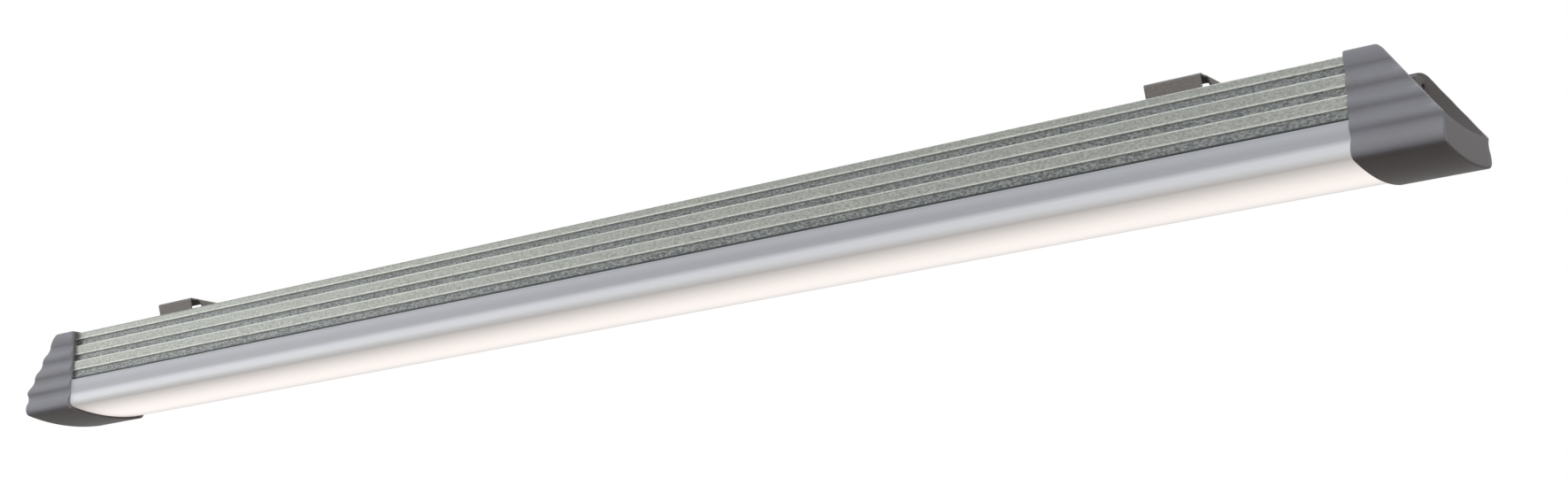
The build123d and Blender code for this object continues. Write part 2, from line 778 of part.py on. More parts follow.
with BuildPart() as driver_case:
    with BuildSketch(Plane.XY.offset(level(case_foot))):
        with Locations((driver_middle, 0)):
            Rectangle(driver_length, 2 * driver_case_half)
    extrude(amount=driver_case_height)
    case_middle = level(case_foot) + driver_case_height / 2
    rounded = driver_case.edges().filter_by(lambda edge: edge.center().Z > case_middle - driver_case_radius)
    fillet(rounded, driver_case_radius)
    with BuildSketch(Plane.XY.offset(level(case_foot))):
        with Locations((driver_middle, 0)):
            Rectangle(driver_length - 2 * driver_case_wall, 2 * (driver_case_half - driver_case_wall))
    extrude(amount=driver_case_height - driver_case_wall, mode=Mode.SUBTRACT)
    with Locations(Plane.YZ.offset(driver_end)):
        with Locations(mains_lead_spots):
            Hole(driver_lead_hole, depth=driver_case_wall)
    with Locations(Plane.YZ.offset(driver_start + driver_case_wall)):
        with Locations(led_lead_spots):
            Hole(led_lead_radius + grommet_gap, depth=driver_case_wall)
keep(driver_case, "driver_case")

# Terminal block with its clamp screws and fixing screws
with BuildPart() as terminal_block:
    with BuildSketch(Plane.XY.offset(level(shelf_top))):
        with Locations((terminal_x, 0)):
            Rectangle(terminal_length, 2 * terminal_half)
    extrude(amount=terminal_height)
    terminal_top = level(shelf_top - terminal_height)
    with Locations(Plane.YZ.offset(terminal_start + terminal_length)):
        with Locations(mains_lead_spots):
            Hole(terminal_funnel, depth=terminal_length)
    with Locations(Plane.XY.offset(terminal_top)):
        with Locations([(terminal_x, y) for y, z in mains_lead_spots]):
            Hole(terminal_screw_radius + terminal_hole_gap, depth=terminal_screw_drop + terminal_screw_length)
        with Locations(terminal_fix_spots):
            CounterBoreHole(terminal_fix_radius + terminal_hole_gap, terminal_fix_head + terminal_hole_gap,
                            terminal_fix_drop, depth=terminal_height)
keep(terminal_block, "terminal_block")

with BuildPart() as terminal_screws:
    with Locations(Plane.XY.offset(terminal_top - terminal_screw_drop)):
        with Locations([(terminal_x, y) for y, z in mains_lead_spots]):
            Cylinder(terminal_screw_radius, terminal_screw_length, align=hanging)
keep(terminal_screws, "terminal_screws")

with BuildPart() as terminal_fixing_screws:
    with Locations(Plane.XY.offset(terminal_top - terminal_fix_drop)):
        with Locations(terminal_fix_spots):
            Cylinder(terminal_fix_head, terminal_fix_head_height, align=standing)
            Cylinder(terminal_fix_radius, terminal_height - terminal_fix_drop + shelf_wall + terminal_fix_tip,
                     align=hanging)
keep(terminal_fixing_screws, "terminal_fixing_screws")

# Earth stud in the shelf
with BuildPart() as earth_washer_ring:
    with BuildSketch(Plane.XY.offset(level(shelf_top))):
        with Locations((earth_x, 0)):
            Circle(earth_washer_radius)
            Circle(earth_screw_radius + terminal_hole_gap, mode=Mode.SUBTRACT)
    extrude(amount=earth_washer)
keep(earth_washer_ring, "earth_washer")

with BuildPart() as earth_screw:
    with Locations(Plane.XY.offset(level(shelf_top - earth_washer))):
        with Locations((earth_x, 0)):
            Cylinder(earth_head, earth_head_height, align=standing)
            Cylinder(earth_screw_radius, earth_washer + shelf_wall + earth_tip, align=hanging)
keep(earth_screw, "earth_screw")

# Inner leads: mains from the terminals to the driver, low voltage from the driver to the boards
with BuildPart() as mains_leads:
    with BuildSketch(Plane.YZ.offset(driver_end - lead_insertion)):
        with Locations(mains_lead_spots):
            Circle(mains_lead_radius)
    extrude(amount=terminal_start - driver_end + 2 * lead_insertion)
keep(mains_leads, "mains_leads")

with BuildPart() as led_leads:
    for y, z in led_lead_spots:
        with BuildLine():
            FilletPolyline((driver_start + lead_insertion, y, z), (0, y, z), (0, y, level(board_bottom)),
                           radius=led_lead_bend)
        with BuildSketch(Plane.YZ.offset(driver_start + lead_insertion)):
            with Locations((y, z)):
                Circle(led_lead_radius)
        sweep()
keep(led_leads, "led_leads")

with BuildPart() as lead_grommet:
    grommet_top = level(shelf_top) + grommet_flange_height
    with Locations(Plane.XY.offset(grommet_top)):
        Cylinder(grommet_flange, grommet_flange_height, align=hanging)
        Cylinder(grommet_neck, grommet_flange_height + shelf_wall, align=hanging)
        Hole(grommet_bore)
keep(lead_grommet, "lead_grommet")
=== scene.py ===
import math

import bpy
from mathutils import Matrix, Vector


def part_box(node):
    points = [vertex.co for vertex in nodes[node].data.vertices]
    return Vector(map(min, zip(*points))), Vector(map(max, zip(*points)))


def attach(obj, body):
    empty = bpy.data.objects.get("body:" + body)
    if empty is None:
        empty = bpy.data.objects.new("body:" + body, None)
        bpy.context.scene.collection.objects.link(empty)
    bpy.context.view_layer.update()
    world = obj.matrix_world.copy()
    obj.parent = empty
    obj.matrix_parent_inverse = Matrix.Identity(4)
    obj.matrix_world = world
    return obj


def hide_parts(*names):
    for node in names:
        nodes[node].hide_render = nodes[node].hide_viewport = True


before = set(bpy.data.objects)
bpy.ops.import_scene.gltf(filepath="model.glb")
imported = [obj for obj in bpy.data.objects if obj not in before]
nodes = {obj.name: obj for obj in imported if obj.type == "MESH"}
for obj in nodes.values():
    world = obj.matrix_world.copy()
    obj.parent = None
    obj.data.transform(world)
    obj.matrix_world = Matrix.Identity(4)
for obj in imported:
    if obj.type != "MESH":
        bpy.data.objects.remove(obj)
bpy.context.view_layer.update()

MM = 0.001
bpy.ops.object.select_all(action="DESELECT")


def linear(code):
    """Linear colour of an sRGB hex value."""
    values = [int(code[start:start + 2], 16) / 255 for start in (1, 3, 5)]
    return [v / 12.92 if v <= 0.04045 else ((v + 0.055) / 1.055) ** 2.4 for v in values] + [1.0]


def add_node(tree, kind, settings=(), inputs=(), links=()):
    """Add one shader node with its settings, its input values and its links from other nodes."""
    node = tree.nodes.new(kind)
    for name, value in dict(settings).items():
        setattr(node, name, value)
    for name, value in dict(inputs).items():
        node.inputs[name].default_value = value
    for name, source in dict(links).items():
        tree.links.new(source, node.inputs[name])
    return node


def new_material(name, colour, roughness, **inputs):
    """A material with its shader's constant values set, its tree and its shader."""
    material = bpy.data.materials.new(name)
    material.use_nodes = True
    tree = material.node_tree
    shader = tree.nodes["Principled BSDF"]
    shader.inputs["Base Color"].default_value = linear(colour)
    shader.inputs["Roughness"].default_value = roughness
    for socket, value in inputs.items():
        shader.inputs[socket.replace("_", " ")].default_value = value
    material.diffuse_color = linear(colour)
    return material, tree, shader


def object_grain(tree, grain, stretch=(1, 1, 1), detail=2.0, roughness=0.5):
    """Noise on the piece's own coordinates, for grains of a size in metres. Stretch is along each axis."""
    place = add_node(tree, "ShaderNodeTexCoord")
    mapping = add_node(tree, "ShaderNodeMapping", inputs={"Scale": stretch},
                       links={"Vector": place.outputs["Object"]})
    noise = add_node(tree, "ShaderNodeTexNoise",
                     inputs={"Scale": 1 / grain, "Detail": detail, "Roughness": roughness},
                     links={"Vector": mapping.outputs["Vector"]})
    return noise.outputs["Fac"]


# A Mix node has sockets for each kind of data, so those for its factor and colours go by number
FACTOR = 0
UNDER = 6
OVER = 7
MIXED = 2


def tint(tree, pattern, start, end, strength, under, over):
    """Lay a colour over a node's output, up to a strength, where a pattern goes from start to end."""
    amount = add_node(tree, "ShaderNodeMapRange",
                      inputs={"From Min": start, "From Max": end, "To Min": 0.0, "To Max": strength},
                      links={"Value": pattern})
    mix = add_node(tree, "ShaderNodeMix", {"data_type": "RGBA"}, {OVER: linear(over)},
                   {FACTOR: amount.outputs["Result"], UNDER: under})
    return mix.outputs[MIXED]


def edge_highlight_mask(tree, radius):
    """One along the edges, within a radius of them, and zero on the flats."""
    rounded = add_node(tree, "ShaderNodeBevel", {"samples": 6}, {"Radius": radius})
    flat = add_node(tree, "ShaderNodeNewGeometry")
    turn = add_node(tree, "ShaderNodeVectorMath", {"operation": "DOT_PRODUCT"}, {},
                    {0: rounded.outputs["Normal"], 1: flat.outputs["Normal"]})
    edge_share = add_node(tree, "ShaderNodeMapRange",
                    inputs={"From Min": 0.80, "From Max": 0.98, "To Min": 1.0, "To Max": 0.0},
                    links={"Value": turn.outputs["Value"]})
    return edge_share.outputs["Result"]


def set_steps(ramp, steps):
    """Fill a colour ramp from (position, hex value) pairs."""
    while len(ramp.elements) < len(steps):
        ramp.elements.new(0.5)
    for element, (position, code) in zip(ramp.elements, steps):
        element.position = position
        element.color = linear(code)


def grained_material(name, colour, roughness, grain, dark, light, stretch=(1, 1, 1)):
    """A plain material whose colour wanders between two values with its grain."""
    material, tree, shader = new_material(name, colour, roughness)
    skin = add_node(tree, "ShaderNodeMix", {"data_type": "RGBA"}, {UNDER: linear(dark), OVER: linear(light)},
                    {FACTOR: object_grain(tree, grain, stretch)})
    tree.links.new(skin.outputs[MIXED], shader.inputs["Base Color"])
    return material


def dress(material, *names):
    """Give a material to the CAD nodes of these names."""
    for name in names:
        for slot in nodes[name].material_slots:
            slot.material = material


# Depths below the cap tops, for the colours, painted highlights, painted shade and painted glow that change
# down the light's side
CAP_TOP = -9.8 * MM          # the cap tops' own height
FIRST_RIB = 13.0 * MM        # the second rib's upper edge, where the pattern of ribs starts
RIB_PITCH = 13.6 * MM
SKIRT_END = 40.0 * MM
JOINT_SHADE_START = 40.4 * MM
JOINT_SHADE_END = 41.2 * MM
JOINT_END = 42.5 * MM
UNDERSIDE = 69.2 * MM

# Where the painted warm shade inside the caps fades out, across the light and along it, from its middle
CHEEK_FADE_START = 36.0 * MM
CHEEK_FADE_END = 37.4 * MM
END_FADE_START = 629.0 * MM
END_FADE_END = 630.0 * MM


def depth_below_caps(tree):
    """Depth under the top of the end caps, in metres."""
    place = add_node(tree, "ShaderNodeTexCoord")
    axes = add_node(tree, "ShaderNodeSeparateXYZ", links={"Vector": place.outputs["Object"]})
    depth = add_node(tree, "ShaderNodeMath", {"operation": "SUBTRACT"}, {0: CAP_TOP}, {1: axes.outputs["Z"]})
    return depth.outputs["Value"]


# Anodised aluminium, extruded: a satin grey skin with fine die lines along the length and a faint
# metallic grain. Each rib has a painted highlight on both edges, and the grooves and the skirt are
# painted darker as shade, which deepens into the joint below as painted shade.
# The die lines are drawn 0.5 mm apart, and the grain and pits over 1 mm, so that they show.
RIB_HIGHLIGHT_AND_SHADE_STEPS = [
    (0.0, "#D6D9D3"),
    (0.05, "#C8CBC5"),
    (0.09, "#858881"),
    (0.52, "#868982"),
    (0.57, "#C4C7C1"),
    (0.62, "#ECEEEA"),
    (0.64, "#484B4D"),
    (0.98, "#484C4E")]
aluminium, tree, shader = new_material("anodised_aluminium_extruded", "#A3A59D", 0.42, Metallic=0.85)
depth = depth_below_caps(tree)
above_skirt = add_node(tree, "ShaderNodeMath", {"operation": "MINIMUM"}, {1: SKIRT_END}, {0: depth})
from_rib = add_node(tree, "ShaderNodeMath", {"operation": "SUBTRACT"}, {1: FIRST_RIB},
                    {0: above_skirt.outputs["Value"]})
in_pitch = add_node(tree, "ShaderNodeMath", {"operation": "WRAP"}, {1: RIB_PITCH, 2: 0.0},
                    {0: from_rib.outputs["Value"]})
share = add_node(tree, "ShaderNodeMath", {"operation": "DIVIDE"}, {1: RIB_PITCH},
                 {0: in_pitch.outputs["Value"]})
# Ramp by depth: painted highlights on both edges of each rib, painted shade on the grooves and the skirt
rib_highlight_and_groove_shade = add_node(tree, "ShaderNodeValToRGB", links={"Fac": share.outputs["Value"]})
set_steps(rib_highlight_and_groove_shade.color_ramp, RIB_HIGHLIGHT_AND_SHADE_STEPS)
die_lines = object_grain(tree, 0.5 * MM, (0.004, 1.0, 1.0), 3.0)
sparkle = object_grain(tree, 1.1 * MM, (0.5, 1.0, 1.0), 2.0, 0.7)
pits = object_grain(tree, 1.4 * MM, (0.6, 1.0, 1.0), 2.0, 0.8)
cloud = object_grain(tree, 110.0 * MM, (1.0, 4.0, 4.0), 3.0)
base = tint(tree, sparkle, 0.38, 0.62, 0.42, rib_highlight_and_groove_shade.outputs["Color"], "#BDC0B8")
base = tint(tree, pits, 0.52, 0.66, 0.42, base, "#5C6062")
base = tint(tree, cloud, 0.3, 0.7, 0.2, base, "#8B8F93")
# Painted shade: the metal darkens into the joint above the seal
base = tint(tree, depth, JOINT_SHADE_START, JOINT_SHADE_END, 1.0, base, "#3C3E40")
tree.links.new(base, shader.inputs["Base Color"])
gloss = add_node(tree, "ShaderNodeMapRange",
                 inputs={"From Min": 0.3, "From Max": 0.7, "To Min": 0.36, "To Max": 0.48},
                 links={"Value": die_lines})
tree.links.new(gloss.outputs["Result"], shader.inputs["Roughness"])
relief = add_node(tree, "ShaderNodeBump", inputs={"Strength": 0.25, "Distance": 0.04 * MM},
                  links={"Height": die_lines})
tree.links.new(relief.outputs["Normal"], shader.inputs["Normal"])
dress(aluminium, "housing")

# Opal polycarbonate, extruded: a milky satin skin, its grain drawn 0.7 mm across so that it shows.
# Painted light glows from it by depth: dim on the side's upper half but for a faint band under the joint,
# clearer on its lower part, and most at the middle of the underside.
# Painted light: emission colours of the diffuser's glow, by depth below the joint
PAINTED_GLOW_STEPS = [
    (0.00, "#48484A"),
    (0.12, "#626468"),
    (0.30, "#48494D"),
    (0.42, "#4A4B50"),
    (0.56, "#98999C"),
    (0.86, "#A09D9A"),
    (1.00, "#E8E0DB")]
opal, tree, shader = new_material("opal_polycarbonate_extruded", "#9DA0A5", 0.38)
from_joint = add_node(tree, "ShaderNodeMapRange",
                      inputs={"From Min": JOINT_END, "From Max": UNDERSIDE, "To Min": 0.0, "To Max": 1.0},
                      links={"Value": depth_below_caps(tree)})
# The diffuser's painted glow, fed to its emission
painted_glow = add_node(tree, "ShaderNodeValToRGB", links={"Fac": from_joint.outputs["Result"]})
set_steps(painted_glow.color_ramp, PAINTED_GLOW_STEPS)
tree.links.new(painted_glow.outputs["Color"], shader.inputs["Emission Color"])
shader.inputs["Emission Strength"].default_value = 1.0
relief = add_node(tree, "ShaderNodeBump", inputs={"Strength": 0.15, "Distance": 0.03 * MM},
                  links={"Height": object_grain(tree, 0.7 * MM, (0.2, 1.0, 1.0))})
tree.links.new(relief.outputs["Normal"], shader.inputs["Normal"])
dress(opal, "diffuser")

# ABS, moulded with a spark-eroded texture: a dull mid grey with a fine even grain, drawn 0.4 mm across.
# Between the cheeks it is painted browner as warm shade, and short of the end face, in the recess and
# underneath, painted darker as shade too.
# Its edges get a painted highlight within a millimetre.
abs_grey, tree, shader = new_material("abs_moulded_grey", "#808286", 0.5, Specular_IOR_Level=0.26)
erosion = object_grain(tree, 0.4 * MM, (1.0, 1.0, 1.0), 2.0, 0.6)
mottle = object_grain(tree, 16.0 * MM, (1.0, 1.0, 1.0), 3.0)
place = add_node(tree, "ShaderNodeTexCoord")
size = add_node(tree, "ShaderNodeVectorMath", {"operation": "ABSOLUTE"}, {}, {0: place.outputs["Object"]})
from_middle = add_node(tree, "ShaderNodeSeparateXYZ", links={"Vector": size.outputs["Vector"]})
between_cheeks_shade_mask = add_node(tree, "ShaderNodeMapRange",
                          inputs={"From Min": CHEEK_FADE_START, "From Max": CHEEK_FADE_END,
                                  "To Min": 1.0, "To Max": 0.0},
                          links={"Value": from_middle.outputs["Y"]})
short_of_end = add_node(tree, "ShaderNodeMapRange",
                        inputs={"From Min": END_FADE_START, "From Max": END_FADE_END,
                                "To Min": 1.0, "To Max": 0.0},
                        links={"Value": from_middle.outputs["X"]})
recess_shade_mask = add_node(tree, "ShaderNodeMath", {"operation": "MULTIPLY"}, {},
                     {0: between_cheeks_shade_mask.outputs["Result"], 1: short_of_end.outputs["Result"]})
speckle = add_node(tree, "ShaderNodeMapRange",
                   inputs={"From Min": 0.35, "From Max": 0.65, "To Min": 0.0, "To Max": 1.0},
                   links={"Value": erosion})
skin = add_node(tree, "ShaderNodeMix", {"data_type": "RGBA"},
                {UNDER: linear("#80828A"), OVER: linear("#8A8C93")}, {FACTOR: speckle.outputs["Result"]})
base = tint(tree, mottle, 0.35, 0.65, 0.3, skin.outputs[MIXED], "#7F7A79")
# Painted warm shade between the cheeks
base = tint(tree, between_cheeks_shade_mask.outputs["Result"], 0.0, 1.0, 0.5, base, "#6C635D")
# Painted shade in the recess and underneath, short of the end face
base = tint(tree, recess_shade_mask.outputs["Value"], 0.0, 1.0, 0.6, base, "#4D4844")
# Painted highlight along the cap's edges
base = tint(tree, edge_highlight_mask(tree, 0.9 * MM), 0.0, 1.0, 0.34, base, "#A39D98")
tree.links.new(base, shader.inputs["Base Color"])
gloss = add_node(tree, "ShaderNodeMapRange",
                 inputs={"From Min": 0.3, "From Max": 0.7, "To Min": 0.46, "To Max": 0.60},
                 links={"Value": erosion})
tree.links.new(gloss.outputs["Result"], shader.inputs["Roughness"])
relief = add_node(tree, "ShaderNodeBump", inputs={"Strength": 0.3, "Distance": 0.06 * MM},
                  links={"Height": erosion})
tree.links.new(relief.outputs["Normal"], shader.inputs["Normal"])
dress(abs_grey, "end_cap_left", "end_cap_right")

# Steel sheet, phosphated: dark, dull and slightly brown, its crystals drawn 1.1 mm across so that they show.
sheet_steel, tree, shader = new_material("steel_sheet_phosphated", "#6E6A67", 0.55, Metallic=0.4)
place = add_node(tree, "ShaderNodeTexCoord")
crystals = add_node(tree, "ShaderNodeTexVoronoi", inputs={"Scale": 1 / (1.1 * MM)},
                    links={"Vector": place.outputs["Object"]})
skin = add_node(tree, "ShaderNodeMix", {"data_type": "RGBA"},
                {UNDER: linear("#66625F"), OVER: linear("#7C7875")}, {FACTOR: crystals.outputs["Distance"]})
tree.links.new(skin.outputs[MIXED], shader.inputs["Base Color"])
dress(sheet_steel, "ceiling_clip_left", "ceiling_clip_right")

# The small pieces' grains below are drawn 0.55 to 1.6 mm across, coarser than real ones, so that they show

# EPDM rubber, moulded: near black and matt, with a faint dusty bloom.
epdm = grained_material("epdm_rubber_moulded", "#3A3B3E", 0.8, 1.4 * MM, "#333437", "#46474A")
dress(epdm, "diffuser_seal_front", "diffuser_seal_back", "cap_gasket_left", "cap_gasket_right",
      "gland_seal", "blanking_plug_seal", "lead_grommet")

# Zinc-plated steel, turned: a bright satin with a cool tint.
zinc, tree, shader = new_material("steel_zinc_plated", "#C4C8CB", 0.34, Metallic=1.0)
swirl = object_grain(tree, 0.8 * MM, (1.0, 1.0, 1.0), 3.0)
skin = add_node(tree, "ShaderNodeMix", {"data_type": "RGBA"},
                {UNDER: linear("#B4B8BC"), OVER: linear("#D2D5D6")}, {FACTOR: swirl})
tree.links.new(skin.outputs[MIXED], shader.inputs["Base Color"])
gloss = add_node(tree, "ShaderNodeMapRange",
                 inputs={"From Min": 0.3, "From Max": 0.7, "To Min": 0.26, "To Max": 0.42},
                 links={"Value": swirl})
tree.links.new(gloss.outputs["Result"], shader.inputs["Roughness"])
dress(zinc, "cap_screws_left", "cap_screws_right", "board_screws", "terminal_screws",
      "terminal_fixing_screws", "earth_screw", "earth_washer", "driver_base")

# Polyamide, moulded: dark grey with a low sheen and a slight grain.
polyamide = grained_material("polyamide_moulded_dark", "#4A4B4E", 0.45, 0.55 * MM, "#434447", "#535457")
dress(polyamide, "gland_body", "gland_dome_nut", "gland_locknut", "blanking_plug", "blanking_locknut")

# White solder mask on a metal-core board: a flat eggshell white.
solder_mask = grained_material("board_white_solder_mask", "#E9EBEA", 0.4, 1.6 * MM, "#E2E5E4", "#EFF0EF")
dress(solder_mask, "led_board_left", "led_board_right")

# Phosphor silicone over a white package: pale yellow.
phosphor = grained_material("led_phosphor_silicone", "#EFE6A8", 0.3, 1.25 * MM, "#EADF98", "#F3ECB8")
dress(phosphor, "led_packages")

# White polyamide and polycarbonate, moulded: the terminal block, the connector and the driver's case.
white_nylon = grained_material("polyamide_moulded_white", "#DCDCD8", 0.35, 1.1 * MM, "#D6D6D2", "#E2E2DE")
dress(white_nylon, "board_connector", "terminal_block", "driver_case")

# PVC insulation, extruded: a smooth grey skin.
pvc = grained_material("pvc_insulation_extruded", "#8B8C90", 0.4, 1.4 * MM, "#84858A", "#939498",
                       (0.1, 1.0, 1.0))
dress(pvc, "mains_leads", "led_leads")


def select_only(piece):
    """Make one piece the only one that is selected, and the active one."""
    bpy.ops.object.select_all(action="DESELECT")
    piece.select_set(True)
    bpy.context.view_layer.objects.active = piece


def fixed_piece():
    """The active piece, once the selected ones' place, turn and scale are put in their meshes."""
    bpy.ops.object.transform_apply(location=True, rotation=True, scale=True)
    return bpy.context.object


def own_copy(piece, turned, place=(0, 0, 0)):
    """Copy a piece, with a mesh of its own, to a turn and a place."""
    copy = piece.copy()
    copy.data = piece.data.copy()
    bpy.context.collection.objects.link(copy)
    copy.rotation_euler = turned
    copy.location = place
    return copy


def joined(pieces):
    """Put the places of several pieces in their meshes and make one piece of them."""
    bpy.ops.object.select_all(action="DESELECT")
    for piece in pieces:
        piece.select_set(True)
    bpy.context.view_layer.objects.active = pieces[0]
    bpy.ops.object.transform_apply(location=True, rotation=True, scale=True)
    bpy.ops.object.join()
    return bpy.context.object


def pick_faces(piece, wanted):
    """Go to edit mode with only the faces selected whose normal fits a rule."""
    bpy.ops.object.mode_set(mode="EDIT")
    bpy.ops.mesh.select_mode(type="FACE")
    bpy.ops.mesh.select_all(action="DESELECT")
    bpy.ops.object.mode_set(mode="OBJECT")
    for face in piece.data.polygons:
        face.select = wanted(face.normal)
    bpy.ops.object.mode_set(mode="EDIT")


def cut_with(piece, tool, how="DIFFERENCE"):
    """Cut a piece with a tool, or join them, and take the tool away."""
    joint = piece.modifiers.new("cut", "BOOLEAN")
    joint.operation = how
    joint.object = tool
    joint.solver = "EXACT"
    bpy.context.view_layer.objects.active = piece
    bpy.ops.object.modifier_apply(modifier="cut")
    bpy.data.objects.remove(tool, do_unlink=True)


SMOOTH_ANGLE = math.radians(35)
FACING = 0.9                  # least share of a face's normal along an axis for it to face that way
ALONG_X = (0, math.pi / 2, 0)
HALF_TURN = (0, 0, math.pi)


def ease_edges(piece, width, segments=2, angle=40.0):
    """Round a piece's sharp edges and shade it smooth."""
    select_only(piece)
    easing = piece.modifiers.new("easing", "BEVEL")
    easing.width = width
    easing.segments = segments
    easing.limit_method = "ANGLE"
    easing.angle_limit = math.radians(angle)
    easing.use_clamp_overlap = True
    bpy.ops.object.modifier_apply(modifier="easing")
    bpy.ops.object.shade_smooth_by_angle(angle=SMOOTH_ANGLE)


def settle(piece, name, node, material):
    """Put a finished piece's place in its mesh, name it, and stand it in for its CAD node."""
    select_only(piece)
    bpy.ops.object.transform_apply(location=True, rotation=True, scale=True)
    piece.name = name
    piece.data.materials.clear()
    piece.data.materials.append(material)
    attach(piece, "root")
    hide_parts(node)
    bpy.ops.object.select_all(action="DESELECT")


# End caps: the mouldings' own shape, with the corner rounded where the slope starts
BROW_RADIUS = 8.0 * MM
BROW_STEPS = 20
CAP_END = 632.5 * MM
SLOPE_RUN = 34.6 * MM
SLOPE_FALL = 48.6 * MM
TOOL_STAND = 1.8 * MM         # how far the corner's tool stands out of the rounded brow
TOOL_WIDTH = 90.0 * MM        # wider than the caps
CAP_MERGE = 0.001 * MM
CAP_SMOOTH_ANGLE = math.radians(30)
slope_angle = math.atan2(SLOPE_FALL, SLOPE_RUN)
brow_x = CAP_END - SLOPE_RUN - BROW_RADIUS * math.tan(slope_angle / 2)
right_cap = bpy.data.objects.new("rounded_cap_right", nodes["end_cap_right"].data.copy())
bpy.context.collection.objects.link(right_cap)
select_only(right_cap)
bpy.ops.mesh.customdata_custom_splitnormals_clear()
bpy.ops.object.mode_set(mode="EDIT")
bpy.ops.mesh.select_all(action="SELECT")
bpy.ops.mesh.remove_doubles(threshold=CAP_MERGE)
bpy.ops.object.mode_set(mode="OBJECT")
bpy.ops.mesh.primitive_plane_add(size=1, rotation=ALONG_X, location=(brow_x, 0, CAP_TOP + TOOL_STAND / 2))
bpy.context.object.scale = (TOOL_STAND, TOOL_WIDTH, 1)
corner_tool = fixed_piece()
pick_faces(corner_tool, lambda normal: True)
bpy.ops.mesh.spin(steps=BROW_STEPS, angle=-slope_angle, center=(brow_x, 0, CAP_TOP - BROW_RADIUS),
                  axis=(0, 1, 0))
bpy.ops.mesh.select_all(action="SELECT")
bpy.ops.mesh.normals_make_consistent(inside=False)
bpy.ops.object.mode_set(mode="OBJECT")
cut_with(right_cap, corner_tool)
select_only(right_cap)
bpy.ops.object.shade_smooth_by_angle(angle=CAP_SMOOTH_ANGLE)
left_cap = own_copy(right_cap, HALF_TURN)
settle(right_cap, "rounded_cap_right", "end_cap_right", abs_grey)
settle(left_cap, "rounded_cap_left", "end_cap_left", abs_grey)

# Cap screws: pan heads with a cross recess, four at each end, each left at its own turn
HEAD_RADIUS = 3.7 * MM
HEAD_HEIGHT = 2.6 * MM
HEAD_ROUND = 0.9 * MM
SHANK_RADIUS = 2.0 * MM
TIP_LENGTH = 0.8 * MM
TIP_SHARE = 0.6               # the tip's width to the shank's
BLADE = (2.5 * MM, 3.9 * MM, 0.8 * MM)
BLADE_SINK = 0.35 * MM        # the blade's middle below the top of the head
BLADE_SHARE = 0.45            # the cross recess's width at its foot to that at its mouth
SCREW_EASING = 0.06 * MM
PORT_SIDE = 27.6 * MM
PORT_TOP = -23.8 * MM
PORT_BOTTOM = -46.8 * MM
SCREW_PLACES = [              # across the light, height, turn
    (-PORT_SIDE, PORT_TOP, 0.3),
    (PORT_SIDE, PORT_TOP, 1.1),
    (-PORT_SIDE, PORT_BOTTOM, 0.8),
    (PORT_SIDE, PORT_BOTTOM, 0.1)]
low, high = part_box("cap_screws_right")
seat = high[0] - HEAD_HEIGHT
shank_length = seat - low[0]
bpy.ops.mesh.primitive_cylinder_add(vertices=48, radius=HEAD_RADIUS, depth=HEAD_HEIGHT, rotation=ALONG_X,
                                    location=(seat + HEAD_HEIGHT / 2, 0, 0))
screw = fixed_piece()
pick_faces(screw, lambda normal: normal.x > FACING)
bpy.ops.mesh.bevel(offset=HEAD_ROUND, segments=4, affect="EDGES")
pick_faces(screw, lambda normal: normal.x < -FACING)
bpy.ops.mesh.inset(thickness=HEAD_RADIUS - SHANK_RADIUS)
bpy.ops.mesh.extrude_region_move(TRANSFORM_OT_translate={"value": (-shank_length + TIP_LENGTH, 0, 0)})
bpy.ops.mesh.extrude_region_move(TRANSFORM_OT_translate={"value": (-TIP_LENGTH, 0, 0)})
bpy.ops.transform.resize(value=(1, TIP_SHARE, TIP_SHARE), center_override=(0, 0, 0))
bpy.ops.object.mode_set(mode="OBJECT")
for turned in (0, math.pi / 2):
    bpy.ops.mesh.primitive_cube_add(size=1, location=(high[0] - BLADE_SINK, 0, 0), rotation=(turned, 0, 0),
                                    scale=BLADE)
    blade = fixed_piece()
    pick_faces(blade, lambda normal: normal.x < -FACING)
    bpy.ops.transform.resize(value=(1, BLADE_SHARE, BLADE_SHARE), center_override=(0, 0, 0))
    bpy.ops.object.mode_set(mode="OBJECT")
    cut_with(screw, blade)
ease_edges(screw, SCREW_EASING)
right_screws = joined([own_copy(screw, (turned, 0, 0), (0, across, height))
                       for across, height, turned in SCREW_PLACES])
bpy.data.objects.remove(screw, do_unlink=True)
left_screws = own_copy(right_screws, HALF_TURN)
settle(right_screws, "cross_screws_right", "cap_screws_right", zinc)
settle(left_screws, "cross_screws_left", "cap_screws_left", zinc)

# Gland's dome nut: a chamfered hexagon below a dome with twelve grip flutes, and a rounded mouth
NUT_FLATS = 19.0 * MM
NUT_HEX = 4.5 * MM
NUT_CORNER = 0.25 * MM
CHAMFER_TOP = 0.1 * MM        # how far the turned chamfer's cone stands out of the flats at the dome
CHAMFER_FOOT = 5.0 * MM       # and at the foot
DOME_FOOT = 9.1 * MM
NUT_TIP = 6.8 * MM
TIP_ROUND = 1.3 * MM
OVERLAP = 0.4 * MM            # how far the dome and the chamfer's cone run past their place
FLUTES = 12
FLUTE_RADIUS = 0.9 * MM
FLUTE_LEAN = math.atan(0.6)
FLUTE_SPARE = 1.6 * MM        # how much longer a flute is than the dome
FLUTE_LIFT = 0.2 * MM
FLUTE_SHIFT = 0.4 * MM
NECK = 7.5 * MM
NECK_RISE = 0.6 * MM          # how far the neck's bore runs on into the dome
NUT_MOUTH = 5.0 * MM
NUT_MERGE = 0.005 * MM
NUT_DISSOLVE = 0.002 * MM
low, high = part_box("gland_dome_nut")
gland_y = (low[1] + high[1]) / 2
gland_z = (low[2] + high[2]) / 2
dome_length = high[0] - low[0] - NUT_HEX
hexagon_place = (low[0] + NUT_HEX / 2, gland_y, gland_z)
dome_x = high[0] - dome_length / 2
